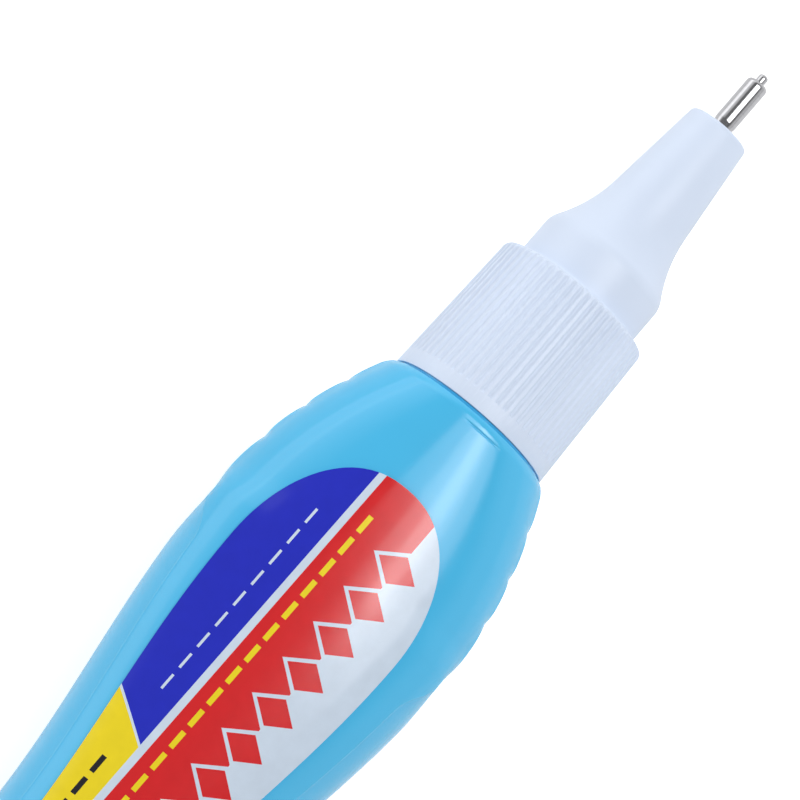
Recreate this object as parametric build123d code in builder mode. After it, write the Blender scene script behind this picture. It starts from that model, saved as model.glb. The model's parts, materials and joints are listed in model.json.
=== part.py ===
from build123d import *

import os
from math import atan2, cos, degrees, pi, radians, sin, sqrt

os.makedirs("parts", exist_ok=True)

# Correction pen lying on its back: the tip points to +X, the front label faces +Z and the back
# label lies on Z = 0. All sizes are in millimetres. Distances named "distance" run from the
# bottle's shoulder toward its tail, and places along the nozzle run from the shoulder to the tip.

# Bottle
bottle_length = 88.0
half_thickness = 8.5
back_flat = 0.16
widest_half_width = 13.25
flare_length = 18.5
waist_half_width = 9.9
waist_distance = 56.0
tail_half_width = 10.4
tail_round = 3.0
shoulder_chamfer = 0.6
bottle_wall = 1.0
crown_tangent = radians(20)
crease_angle = radians(48)
crease_depth = 0.35
crease_least = 0.02
crease_lead = 2.5
crease_run = 4.0
notch_shares = (0.243, 0.465, 0.7, 1.01)
notch_depth = 0.3
bump_depth = 0.03

# Neck and its thread
neck_radius = 5.6
neck_bore = 4.4
neck_height = 10.5
thread_pitch = 2.1
thread_depth = 0.8
thread_root_width = 1.0
thread_crest_width = 0.5
thread_sink = 0.15
thread_clearance = 0.25
neck_thread_start = 2.6
neck_thread_turns = 2.0
nozzle_thread_turns = 1.75

# Labels
label_gap = 0.05
label_thickness = 0.1
label_front = 9.4
label_belly_lag = 3.5
label_belly_margin = 4.15
label_waist_lag = 2.0
label_waist_margin = 3.7
label_straight_share = 0.33
label_tail_length = 6.0

# Nozzle
collar_gap = 0.25
collar_mouth_radius = 8.15
collar_top_radius = 7.65
collar_height = 14.2
collar_round = 0.5
flute_count = 60
flute_radius = 0.5
flute_depth = 0.18
flute_band = 2.1
boss_radius = 6.25
boss_height = 4.4
boss_round = 0.4
flare_start_radius = 5.75
flare_share = 0.5
flare_end_radius = 3.7
nozzle_length = 33.5
nozzle_end_radius = 2.95
nozzle_end_round = 0.4
chamber_radius = 4.4
chamber_share = 0.2
valve_bore = 2.0
valve_share = 0.75
countersink = 0.3

# Seal
seal_thickness = 1.0
seal_inner_radius = 3.6
seal_clearance = 0.3

# Tip barrel
barrel_radius = 1.05
barrel_bore = 0.78
barrel_exposed = 5.65
barrel_nose = 0.26
barrel_lip = 0.6
flange_thickness = 1.0
press_clearance = 0.02

# Valve needle
nub_radius = 0.42
nub_reach = 0.85
nub_round = 0.3
nub_clearance = 0.04
needle_radius = 0.6
needle_collar_radius = 1.4
needle_collar_thickness = 0.8
needle_collar_gap = 0.9
needle_tail = 1.0

# Spring and its retainer
spring_wire_radius = 0.15
spring_radius = 1.15
spring_turns = 6
spring_end_gap = 0.05
retainer_length = 2.2
retainer_slots = 3
slot_inner_radius = 1.05
slot_outer_radius = 1.55
slot_angle = 70.0

# Mixing ball
ball_radius = 2.5
ball_gap = 0.2
ball_distance = 60.0

# Places worked out from the sizes above
tip_end = nozzle_length + barrel_exposed + nub_reach
shoulder_x = (bottle_length - tip_end) / 2
axis_height = half_thickness - back_flat + label_gap + label_thickness
pen_axis = Axis((shoulder_x, 0, axis_height), (1, 0, 0))
side_plane = Plane((shoulder_x, 0, axis_height), x_dir=(1, 0, 0), z_dir=(0, -1, 0))
plan_plane = Plane((shoulder_x, 0, axis_height), x_dir=(1, 0, 0), z_dir=(0, 0, 1))
crease_start = flare_length - crease_lead
notch_distances = [flare_length * share for share in notch_shares]
label_belly = flare_length + label_belly_lag
label_half_width = widest_half_width - label_belly_margin
label_waist = waist_distance + label_waist_lag
label_waist_half_width = waist_half_width - label_waist_margin
label_straight_end = label_waist + (bottle_length - label_waist) * label_straight_share
ceiling = neck_height + seal_thickness
nozzle_bore = neck_radius + thread_depth + thread_clearance
boss_end = collar_height + boss_height
flare_end = boss_end + (nozzle_length - boss_end) * flare_share
chamber_end = ceiling + (nozzle_length - ceiling) * chamber_share
valve_bore_end = ceiling + (nozzle_length - ceiling) * valve_share
barrel_end = nozzle_length + barrel_exposed
needle_seat = barrel_end - barrel_lip
flange_back = valve_bore_end - flange_thickness
needle_collar_front = flange_back - needle_collar_gap
needle_collar_back = needle_collar_front - needle_collar_thickness
retainer_back = chamber_end + needle_tail
retainer_front = retainer_back + retainer_length
spring_length = needle_collar_back - retainer_front


def across(place):
    """Plane square to the pen's axis, with local x to +Y and local y to +Z."""
    return Plane((shoulder_x + place, 0, axis_height), x_dir=(0, 1, 0), z_dir=(1, 0, 0))


def along(place):
    """Point on the pen's axis."""
    return Vector(shoulder_x + place, 0, axis_height)


def ease(first, last, share):
    """Value between first and last that starts and ends level, as a half wave."""
    return first + (last - first) * (1 - cos(pi * share)) / 2


def half_width(distance):
    """Half width of the bottle: a parabola at the shoulder, then half waves to waist and tail."""
    if distance < flare_length:
        rise = 1 - distance / flare_length
        return widest_half_width - (widest_half_width - half_thickness) * rise**2
    if distance < waist_distance:
        share = (distance - flare_length) / (waist_distance - flare_length)
        return ease(widest_half_width, waist_half_width, share)
    share = (distance - waist_distance) / (bottle_length - waist_distance)
    return ease(waist_half_width, tail_half_width, share)


def label_side_at(distance):
    """Half width of a label between its belly and its waist."""
    share = (distance - label_belly) / (label_waist - label_belly)
    return ease(label_half_width, label_waist_half_width, share)


def crease(distance):
    """How far the flank lies inside the corner circles, fading out before the tail's round."""
    rise = (distance - crease_start) / crease_run
    fall = (bottle_length - tail_round - distance) / crease_run - 1
    return ease(crease_least, crease_depth, min(1, max(0, min(rise, fall))))


def draw_section(distance, growth):
    """Draw the bottle's oval, grown all round: crown and base, four corners and two flanks."""
    side = half_width(distance) + growth + crease(distance)
    crown = half_thickness + growth
    s = sin(crown_tangent)
    c = cos(crown_tangent)
    crown_radius = (side - crown * (1 - s) / c) / (s - (1 - c) * (1 - s) / c)
    corner_radius = (crown - crown_radius * (1 - c)) / c
    centre = side - corner_radius

    def corner(angle):
        return (centre + corner_radius * cos(angle), corner_radius * sin(angle))

    crown_side = corner(pi / 2 - crown_tangent)
    corner_middle = corner((pi / 2 - crown_tangent + crease_angle) / 2)
    crease_side = corner(crease_angle)
    quarter = [crown_side, corner_middle, crease_side]

    def turned(points, across_sign, up_sign):
        return [(x * across_sign, y * up_sign) for x, y in points]

    flank = side - crease(distance)
    ThreePointArc(*turned([crown_side], -1, 1), (0, crown), *turned([crown_side], 1, 1))
    ThreePointArc(*turned(quarter, 1, 1))
    ThreePointArc(*turned([crease_side], 1, 1), (flank, 0), *turned([crease_side], 1, -1))
    ThreePointArc(*turned(quarter[::-1], 1, -1))
    ThreePointArc(*turned([crown_side], 1, -1), (0, -crown), *turned([crown_side], -1, -1))
    ThreePointArc(*turned(quarter, -1, -1))
    ThreePointArc(*turned([crease_side], -1, -1), (-flank, 0), *turned([crease_side], -1, 1))
    ThreePointArc(*turned(quarter[::-1], -1, 1))


def body_stations(first, growth):
    """Distances and growths of the body's sections, closer where the shoulder flares."""
    crease_end = bottle_length - tail_round - crease_run
    flare = [crease_start * share for share in (0.14, 0.32, 0.58, 0.87)]
    belly = [crease_start + crease_run * share for share in (0, 0.5, 1)]
    taper = [belly[-1] + (waist_distance - belly[-1]) * share for share in (0.25, 0.5, 0.75, 1)]
    tail = [crease_end - crease_run, crease_end, crease_end + crease_run]
    waist = [(waist_distance + tail[0]) / 2]
    return [(distance, growth) for distance in [first] + flare + belly + taper + waist + tail]


def tail_stations(growth):
    """Distances and growths of the sections that follow the tail's quarter round."""
    middle = bottle_length - tail_round
    radius = tail_round + growth
    angles = [pi / 2 * share for share in (0, 0.25, 0.5, 0.75, 1)]
    return [(middle + radius * sin(a), growth - radius * (1 - cos(a))) for a in angles]


def ovals(stations):
    """Faces of the bottle's oval at each distance and growth."""
    faces = []
    for distance, growth in stations:
        with BuildSketch(across(-distance)) as oval:
            with BuildLine():
                draw_section(distance, growth)
            make_face()
        faces.append(oval.sketch.face())
    return faces


def oval_body(first, growth):
    """Solid of the bottle's outline grown all round: first section to round tail, flat at the back."""
    back = axis_height - half_thickness + back_flat - growth
    with BuildPart() as body:
        loft(ovals(body_stations(first, growth)))
        loft(ovals(tail_stations(growth)))
        split(bisect_by=Plane((0, 0, back), z_dir=(0, 0, 1)))
    return body.part


def draw_helix(radius, pitch, start, turns):
    """Draw a right-hand helix about the pen's axis as tangent arcs, two to each quarter turn."""

    def place(turn):
        angle = 2 * pi * turn
        forward = shoulder_x + start + pitch * turn
        return Vector(forward, radius * cos(angle), axis_height + radius * sin(angle))

    def heading(turn):
        angle = 2 * pi * turn
        return Vector(pitch / (2 * pi), -radius * sin(angle), radius * cos(angle)).normalized()

    steps = round(4 * turns)
    for step in range(steps):
        begin = turns * step / steps
        end = turns * (step + 1) / steps
        chord = place(end) - place(begin)
        both = heading(begin) + heading(end)
        square = both.dot(both) - 4
        linear = chord.dot(both)
        reach = (linear - sqrt(linear**2 - square * chord.dot(chord))) / square
        before = place(begin) + heading(begin) * reach
        after = place(end) - heading(end) * reach
        join = (before + after) / 2
        TangentArc(place(begin), join, tangent=heading(begin))
        TangentArc(join, place(end), tangent=after - before)


def draw_thread(outward):
    """Draw a thread's trapezoid at its helix, with its straight flanks sunk into the wall."""
    slope = (thread_root_width - thread_crest_width) / 2 / thread_depth
    sunk_half_width = thread_root_width / 2 + slope * thread_sink
    Polygon(
        (-sunk_half_width, -outward * thread_sink),
        (-thread_crest_width / 2, outward * thread_depth),
        (thread_crest_width / 2, outward * thread_depth),
        (sunk_half_width, -outward * thread_sink),
        align=None,
    )


# Bottle: an oval body that flares from a round shoulder, hollow, with scalloped flanks
with BuildLine() as neck_helix:
    Helix(thread_pitch, thread_pitch * neck_thread_turns, neck_radius, along(neck_thread_start), (1, 0, 0))

with BuildPart() as bottle:
    add(oval_body(0, 0))
    add(oval_body(bottle_wall, -bottle_wall), mode=Mode.SUBTRACT)
    # The shoulder's edge is turned off at 45 degrees
    with BuildSketch(side_plane):
        with BuildLine():
            edge = half_thickness - shoulder_chamfer
            reach = edge + widest_half_width
            Polyline((0, edge), (0, reach), (-widest_half_width, reach), close=True)
        make_face()
    revolve(axis=pen_axis, mode=Mode.SUBTRACT)
    # Bumps along both flanks, from the chamfer to the last notch
    with BuildSketch(plan_plane):
        with BuildLine():
            first = (-2 * shoulder_chamfer, half_width(2 * shoulder_chamfer))
            begin = first
            for distance in notch_distances:
                end = (-distance, half_width(distance) - notch_depth)
                middle = (distance - begin[0]) / 2
                ThreePointArc(begin, (-middle, half_width(middle) - bump_depth), end)
                begin = end
            run_out = notch_distances[-1] + 2 * notch_depth
            outer = widest_half_width + notch_depth
            Polyline(begin, (-run_out, half_width(run_out)), (-run_out, outer), (first[0], outer), first)
        make_face()
        mirror(about=Plane.XZ)
    extrude(amount=half_thickness / 2, both=True, mode=Mode.SUBTRACT)
    # Neck with its thread and bore
    with BuildSketch(side_plane):
        with Locations((-bottle_wall / 2, 0)):
            Rectangle(neck_height + bottle_wall / 2, neck_radius, align=Align.MIN)
    revolve(axis=pen_axis)
    with BuildSketch(Plane(neck_helix.line @ 0, x_dir=(1, 0, 0), z_dir=neck_helix.line % 0)):
        draw_thread(1)
    sweep(path=neck_helix.line, is_frenet=True)
    with BuildSketch(side_plane):
        with Locations((-2 * bottle_wall, 0)):
            Rectangle(neck_height + 2 * bottle_wall, neck_bore, align=Align.MIN)
    revolve(axis=pen_axis, mode=Mode.SUBTRACT)
bottle.part.label = "bottle"
export_step(bottle.part, "parts/bottle.step")

# Both labels have this outline: round ends and drawn-in sides
with BuildSketch(plan_plane) as label_outline:
    with BuildLine():
        taper = [label_belly + (label_waist - label_belly) * share for share in (0, 0.25, 0.5, 0.75, 1)]
        label_tail = label_straight_end + label_tail_length
        EllipticalCenterArc((-label_belly, 0), label_belly - label_front, label_half_width, arc_size=90)
        Spline([(-d, label_side_at(d)) for d in taper], tangents=[(-1, 0), (-1, 0)])
        Line((-label_waist, label_waist_half_width), (-label_straight_end, label_waist_half_width))
        EllipticalCenterArc(
            (-label_straight_end, 0), label_tail_length, label_waist_half_width, 90, arc_size=90
        )
        Line((-label_tail, 0), (-label_front, 0))
    make_face()
    mirror(about=Plane.XZ)

# Front label: a film that follows the round front panel
with BuildPart() as front_label:
    add(oval_body(0, label_gap + label_thickness))
    add(oval_body(0, label_gap), mode=Mode.SUBTRACT)
    extrude(label_outline.sketch, amount=2 * half_thickness, mode=Mode.INTERSECT)
front_label.part.label = "front_label"
export_step(front_label.part, "parts/front_label.step")

# Back label: the same film on the back panel, with its flat middle
with BuildPart() as back_label:
    add(oval_body(0, label_gap + label_thickness))
    add(oval_body(0, label_gap), mode=Mode.SUBTRACT)
    extrude(label_outline.sketch, amount=-2 * half_thickness, mode=Mode.INTERSECT)
back_label.part.label = "back_label"
export_step(back_label.part, "parts/back_label.step")

# Neck seal: a washer that the nozzle presses on the neck's lip
with BuildPart() as neck_seal:
    with BuildSketch(across(neck_height)):
        Circle(nozzle_bore - seal_clearance)
        Circle(seal_inner_radius, mode=Mode.SUBTRACT)
    extrude(amount=seal_thickness)
neck_seal.part.label = "neck_seal"
export_step(neck_seal.part, "parts/neck_seal.step")

# Nozzle: ribbed screw collar, cap boss and flared cone with the valve's bore
with BuildLine() as nozzle_helix:
    thread_start = along(neck_thread_start - thread_pitch / 2)
    Helix(thread_pitch, thread_pitch * nozzle_thread_turns, nozzle_bore, thread_start, (1, 0, 0))

with BuildPart() as nozzle:
    with BuildSketch(side_plane) as nozzle_profile:
        with BuildLine():
            bore = barrel_radius + press_clearance
            collar_edge = Vector(collar_height, collar_top_radius)
            boss_edge = Vector(boss_end, boss_radius)
            flare_top = Vector(boss_end, flare_start_radius)
            flare_foot = Vector(flare_end, flare_end_radius)
            cone_edge = Vector(nozzle_length, nozzle_end_radius)
            Polyline(
                flare_foot,
                cone_edge,
                (nozzle_length, bore + countersink),
                (nozzle_length - countersink, bore),
                (valve_bore_end, bore),
                (valve_bore_end, valve_bore),
                (chamber_end, valve_bore),
                (chamber_end, chamber_radius),
                (ceiling, chamber_radius),
                (ceiling, nozzle_bore),
                (collar_gap, nozzle_bore),
                (collar_gap, collar_mouth_radius),
                collar_edge,
                (collar_height, boss_radius),
                boss_edge,
                flare_top,
            )
            TangentArc(flare_foot, flare_top, tangent=flare_foot - cone_edge)
        make_face()
        for edge, radius in (
            (collar_edge, collar_round),
            (boss_edge, boss_round),
            (cone_edge, nozzle_end_round),
        ):
            fillet(nozzle_profile.vertices().sort_by_distance(edge)[0], radius)
    revolve(axis=pen_axis)
    with BuildSketch(Plane(nozzle_helix.line @ 0, x_dir=(1, 0, 0), z_dir=nozzle_helix.line % 0)):
        draw_thread(-1)
    sweep(path=nozzle_helix.line, is_frenet=True)
    # Flutes between the grip ribs, parallel to the collar's draft
    fall = collar_mouth_radius - collar_top_radius
    run = collar_height - collar_gap
    flute_circle = collar_mouth_radius - fall * flute_band / run + flute_radius - flute_depth
    with Locations(across(collar_gap + flute_band)):
        with PolarLocations(flute_circle, flute_count):
            Cylinder(
                flute_radius,
                collar_height,
                rotation=(0, -degrees(atan2(fall, run)), 0),
                align=(Align.CENTER, Align.CENTER, Align.MIN),
                mode=Mode.SUBTRACT,
            )
nozzle.part.label = "nozzle"
export_step(nozzle.part, "parts/nozzle.step")

# Tip barrel: a steel tube with a flange behind and a small orifice in its nose
with BuildPart() as tip_barrel:
    with BuildSketch(side_plane):
        with BuildLine():
            orifice = nub_radius + nub_clearance
            Polyline(
                (flange_back, barrel_bore),
                (flange_back, valve_bore - press_clearance),
                (valve_bore_end, valve_bore - press_clearance),
                (valve_bore_end, barrel_radius),
                (barrel_end - barrel_nose, barrel_radius),
                (barrel_end, barrel_radius - barrel_nose),
                (barrel_end, orifice),
                (needle_seat, orifice),
                (needle_seat, barrel_bore),
                close=True,
            )
        make_face()
    revolve(axis=pen_axis)
tip_barrel.part.label = "tip_barrel"
export_step(tip_barrel.part, "parts/tip_barrel.step")

# Valve needle: nub in the orifice, shaft in the barrel, collar for the spring and a guided tail
with BuildPart() as valve_needle:
    with BuildSketch(side_plane) as needle_profile:
        with BuildLine():
            nub_edge = Vector(tip_end, nub_radius)
            Polyline(
                (tip_end, 0),
                nub_edge,
                (needle_seat, nub_radius),
                (needle_seat, needle_radius),
                (needle_collar_front, needle_radius),
                (needle_collar_front, needle_collar_radius),
                (needle_collar_back, needle_collar_radius),
                (needle_collar_back, needle_radius),
                (chamber_end, needle_radius),
                (chamber_end, 0),
                close=True,
            )
        make_face()
        fillet(needle_profile.vertices().sort_by_distance(nub_edge)[0], nub_round)
    revolve(axis=pen_axis)
valve_needle.part.label = "valve_needle"
export_step(valve_needle.part, "parts/valve_needle.step")

# Valve spring: one wire wound from the retainer to the needle's collar
with BuildLine() as spring_helix:
    spring_start = retainer_front + spring_wire_radius + spring_end_gap
    spring_pitch = (spring_length - 2 * (spring_wire_radius + spring_end_gap)) / spring_turns
    draw_helix(spring_radius, spring_pitch, spring_start, spring_turns)

with BuildPart() as valve_spring:
    with BuildSketch(Plane(spring_helix.line @ 0, z_dir=spring_helix.line % 0)):
        Circle(spring_wire_radius)
    sweep(path=spring_helix.line)
valve_spring.part.label = "valve_spring"
export_step(valve_spring.part, "parts/valve_spring.step")

# Spring retainer: a bush pressed into the valve bore, with slots that let the fluid past
with BuildPart() as spring_retainer:
    with BuildSketch(across(retainer_back)):
        Circle(valve_bore - press_clearance)
        Circle(needle_radius + nub_clearance, mode=Mode.SUBTRACT)
        with PolarLocations(0, retainer_slots):
            SlotArc(
                CenterArc((0, 0), (slot_inner_radius + slot_outer_radius) / 2, 0, slot_angle, mode=Mode.PRIVATE),
                slot_outer_radius - slot_inner_radius,
                mode=Mode.SUBTRACT,
            )
    extrude(amount=retainer_length)
spring_retainer.part.label = "spring_retainer"
export_step(spring_retainer.part, "parts/spring_retainer.step")

# Mixing ball: lies loose on the bottle's floor
with BuildPart() as mixing_ball:
    ball_height = ball_radius + ball_gap + bottle_wall + back_flat - half_thickness
    with Locations(across(-ball_distance)):
        with Locations((0, ball_height)):
            Sphere(ball_radius)
mixing_ball.part.label = "mixing_ball"
export_step(mixing_ball.part, "parts/mixing_ball.step")
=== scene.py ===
import json
from math import asin, atan2, cos, hypot, pi, radians, sin, sqrt, tan

import bmesh
import bpy
from bpy.props import FloatProperty, FloatVectorProperty, IntProperty, PointerProperty
from mathutils import Matrix, Vector


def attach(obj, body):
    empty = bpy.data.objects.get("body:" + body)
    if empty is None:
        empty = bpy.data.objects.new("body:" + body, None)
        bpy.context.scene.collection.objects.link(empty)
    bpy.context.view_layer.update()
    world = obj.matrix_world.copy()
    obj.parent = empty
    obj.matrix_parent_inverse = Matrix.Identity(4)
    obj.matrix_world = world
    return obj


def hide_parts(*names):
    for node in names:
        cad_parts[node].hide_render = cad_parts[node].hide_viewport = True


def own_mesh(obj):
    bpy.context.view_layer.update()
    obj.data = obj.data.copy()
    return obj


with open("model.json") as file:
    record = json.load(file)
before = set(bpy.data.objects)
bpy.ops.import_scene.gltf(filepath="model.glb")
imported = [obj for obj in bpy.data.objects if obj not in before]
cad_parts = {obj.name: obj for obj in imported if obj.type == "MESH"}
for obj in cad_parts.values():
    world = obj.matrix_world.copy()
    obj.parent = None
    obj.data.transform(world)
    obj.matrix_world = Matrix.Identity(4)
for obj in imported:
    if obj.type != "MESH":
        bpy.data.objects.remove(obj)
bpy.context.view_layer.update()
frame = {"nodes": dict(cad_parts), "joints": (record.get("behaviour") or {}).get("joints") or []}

bl_info = {
    "name": "Correction Pen",
    "version": (1, 0, 0),
    "blender": (4, 5, 0),
    "location": "3D View > Sidebar > Pen",
    "description": "Builds a squeeze-bottle correction pen round its solid model and lights it",
    "category": "Add Mesh",
}

# The pen lies along X with its tip to +X and its front label up. SHOULDER is the datum of the screw,
# where the bottle meets the nozzle. Distances run from it to the tail, and places from it to the tip.
MM = 0.001
TURN_POINT = next(joint["pos_m"] for joint in frame["joints"] if joint["name"] == "nozzle_turn")
SHOULDER = TURN_POINT[0]
AXIS = TURN_POINT[2]

# Quarter of the bottle's oval: crown, corner, ledge above the crease, and flank
CROWN_TANGENT = radians(20)
LEAST_CREASE = 0.02 * MM
CREASE_ANGLES = (radians(12), radians(45.5))
CREASE_TURN_LEAD = 1 * MM
CREASE_TURN_RUN = 7 * MM
LEDGE_DROP = 0.35
LEDGE_LEAN = 0.4
CROWN_STEPS = 18
CORNER_STEPS = 6
LEDGE_STEPS = 4
FLANK_STEPS = 8

# Notches of the flanks as shares of the flare, and the bumps' own depth as a share of the notches'
NOTCH_SHARES = (0.243, 0.465, 0.7, 1)
BUMP_SINK = 0.1
EDGE_BLEND = 0.06 * MM

# Fineness of the meshes, and how near counts as touching
EDGE_STEPS = 5
BARREL_STEPS = 96
NEEDLE_STEPS = 72
RIB_STEPS = 12
THREAD_STEPS = 72
COIL_STEPS = 40
WIRE_POINTS = 14
MERGE = 1e-7
NEAR = 1e-6

# Parts of the softbox above, in metres: name, lean in degrees, width and share of its power
KEY_PARTS = (("wide", 14.75, 0.24, 0.6), ("middle", 17, 0.117, 0.24), ("core", 18.8, 0.047, 0.13))
KEY_PLACE = 0.13
KEY_HEIGHT = 0.3
KEY_LENGTH = 0.149
KEY_TWIST = radians(-7.5)

# Lights at the side, in metres: name, place, length, width and share of their power
SIDE_PARTS = (("low", (0, 0.66, 0.15), 1.2, 0.3, 0.57), ("high", (0.48, 0.6, 0.46), 0.63, 0.55, 0.43))

FLOOR_GAP = 0.02 * MM
SENSOR = 36


def size(name, description, millimetres):
    """Length property, given in millimetres."""
    return FloatProperty(
        name=name,
        description=description,
        default=millimetres * MM,
        min=0,
        precision=5,
        subtype="DISTANCE",
        unit="LENGTH",
    )


def share(name, description, value):
    """Property between 0 and 1."""
    return FloatProperty(name=name, description=description, default=value, min=0, max=1, subtype="FACTOR")


def tilt(name, description, degrees):
    """Angle property, given in degrees."""
    return FloatProperty(name=name, description=description, default=radians(degrees), subtype="ANGLE")


def wattage(name, description, watts):
    """Power property of a light."""
    return FloatProperty(name=name, description=description, default=watts, min=0, unit="POWER")


def linear(level):
    """Linear light of an 8-bit display level."""
    level /= 255
    return level / 12.92 if level <= 0.04045 else ((level + 0.055) / 1.055) ** 2.4


def tint(name, description, red, green, blue):
    """Colour property, given in display levels."""
    return FloatVectorProperty(
        name=name,
        description=description,
        default=[linear(level) for level in (red, green, blue)],
        min=0,
        max=1,
        size=3,
        subtype="COLOR",
    )


class BottleSettings(bpy.types.PropertyGroup):
    length: size("Length", "Shoulder to tail", 88)
    half_thickness: size("Half thickness", "Axis to the middle of the front panel", 8.5)
    back_flat: size("Back flat", "How far the flat of the back panel cuts into its round", 0.16)
    belly: size("Belly half width", "Axis to the flank at the widest place", 13.25)
    flare: size("Flare length", "Shoulder to the widest place", 18.5)
    waist: size("Waist half width", "Axis to the flank at the waist", 9.78)
    waist_distance: size("Waist distance", "Shoulder to waist", 56)
    tail: size("Tail half width", "Axis to the flank at the tail", 10.4)
    tail_round: size("Tail round", "Radius of the tail's edge", 3)
    seat: size("Seat", "Screw datum to the face below the collar", 0.27)
    seat_radius: size("Seat radius", "Radius of that face", 7.95)
    slot_radius: size("Slot radius", "Radius of the shallow slot at the shoulder's edge", 7.85)
    shoulder_start: size("Shoulder start", "Screw datum to the shoulder's edge below the face", 0.6)
    shoulder_run: size("Shoulder run", "Screw datum to the start of the shoulder's round", 1.46)
    shoulder_round: size("Shoulder round", "Radius of the shoulder's round", 1.7)
    wall: size("Wall", "Wall thickness", 1)
    crease: size("Crease depth", "How far the flanks lie inside the corners", 0.6)
    crease_lead: size("Crease lead", "Start of the crease before the widest place", 2.5)
    crease_run: size("Crease run", "Length over which the crease deepens", 4)
    notch: size("Notch depth", "Depth of the notches between the flanks' bumps", 0.3)
    notch_run: size("Notch run-out", "Length over which the flank returns to its full width", 8)
    groove_distance: size("Groove distance", "Shoulder to the groove across the front", 1.6)
    groove: size("Groove depth", "Depth of the groove across the front", 0.08)
    groove_side: size("Groove half width", "Half the width of the groove", 0.14)
    groove_aside: size("Groove aside", "Axis to the groove's middle, to -Y", 1.7)
    groove_reach: size("Groove reach", "Half the length that has the full depth", 1.1)
    groove_fade: size("Groove fade", "Length over which each end runs out", 1)
    neck_radius: size("Neck radius", "Outside of the neck", 5.6)
    neck_bore: size("Neck bore", "Inside radius of the neck", 4.4)
    neck_height: size("Neck height", "Shoulder to the neck's lip", 10.5)
    pitch: size("Thread pitch", "Rise of the screw thread in one turn", 2.1)
    thread: size("Thread depth", "Height of the thread on its wall", 0.8)
    thread_start: size("Thread start", "Shoulder to the start of the neck's thread", 2.6)
    colour: tint("Colour", "Colour of the bottle", 74, 186, 233)
    roughness: share("Roughness", "Roughness of the bottle's plastic", 0.14)


class LabelSettings(bpy.types.PropertyGroup):
    gap: size("Glue line", "Bottle to film", 0.05)
    thickness: size("Thickness", "Thickness of the film", 0.1)
    front: size("Front", "Shoulder to the label's front end", 9.65)
    bluntness: FloatProperty(
        name="Bluntness",
        description="Power of the front end's curve, 2 for an ellipse",
        default=2.3,
        min=1,
        max=4,
    )
    belly_distance: size("Belly distance", "Shoulder to the label's widest place", 22)
    belly: size("Belly half width", "Half the label's largest width", 9.1)
    waist_distance: size("Waist distance", "Shoulder to the end of the drawn-in sides", 58)
    waist: size("Waist half width", "Half the label's width at its straight tail", 6.2)
    straight_end: size("Straight end", "Shoulder to the end of the straight sides", 67.9)
    tail_length: size("Tail length", "Length of the round tail end", 6)
    shift: size("Shift", "How far the film sits off the middle, to +Y", 0.15)
    blue: tint("Blue", "Blue ink", 35, 45, 188)
    red: tint("Red", "Red ink", 214, 36, 40)
    yellow: tint("Yellow", "Yellow ink", 238, 214, 36)
    dark: tint("Dark", "Dark ink", 34, 34, 40)
    white: tint("White", "Bare film", 206, 220, 236)


class NozzleSettings(bpy.types.PropertyGroup):
    overhang: size("Overhang", "How far the collar's mouth reaches past the screw datum", 0.25)
    mouth: size("Mouth radius", "Collar radius at its mouth", 8.15)
    mouth_round: size("Mouth round", "Round of the mouth's edge", 0.05)
    top: size("Top radius", "Collar radius at its top", 7.65)
    top_round: size("Top round", "Round of the collar's top edge", 0.5)
    height: size("Collar height", "Shoulder to the collar's top", 14.2)
    band: size("Band", "Smooth band below the ribs", 1.5)
    ribs: IntProperty(name="Ribs", description="Grip ribs round the collar", default=60, min=12, max=120)
    rib_start: size("Rib start", "Length over which the ribs rise from the band", 0.2)
    flute: size("Flute radius", "Radius of the hollows between ribs", 0.24)
    flute_depth: size("Flute depth", "Depth of the hollows between ribs", 0.2)
    bore: size("Bore", "Inside radius of the collar", 6.65)
    ceiling: size("Ceiling", "Shoulder to the face that presses the seal", 11.5)
    boss: size("Boss radius", "Radius of the boss that a cap slides on", 6.25)
    boss_fillet: size("Boss fillet", "Fillet between the collar's top and the boss", 0.45)
    boss_end: size("Boss end", "Shoulder to the corner of the boss", 18.35)
    boss_round: size("Boss round", "Round of the boss's corner", 0.6)
    flare_end: size("Flare end", "Shoulder to the end of the flare", 24.5)
    flare_radius: size("Flare end radius", "Radius where the flare meets the cone", 4)
    length: size("Length", "Shoulder to the nozzle's end", 33.95)
    end: size("End radius", "Radius of the nozzle's end", 3)
    end_round: size("End round", "Round of the nozzle's end", 0.4)
    end_sink: size("End sink", "Depth of the chamfer round the barrel", 0.3)
    chamber: size("Chamber radius", "Radius of the chamber above the neck", 4.4)
    chamber_end: size("Chamber end", "Shoulder to the end of the chamber", 15.9)
    valve_bore: size("Valve bore", "Radius of the valve's bore", 2)
    valve_end: size("Valve bore end", "Shoulder to the end of the valve's bore", 28)
    colour: tint("Colour", "Colour of the nozzle", 211, 223, 242)
    roughness: share("Roughness", "Roughness of the nozzle's plastic", 0.42)


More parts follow.
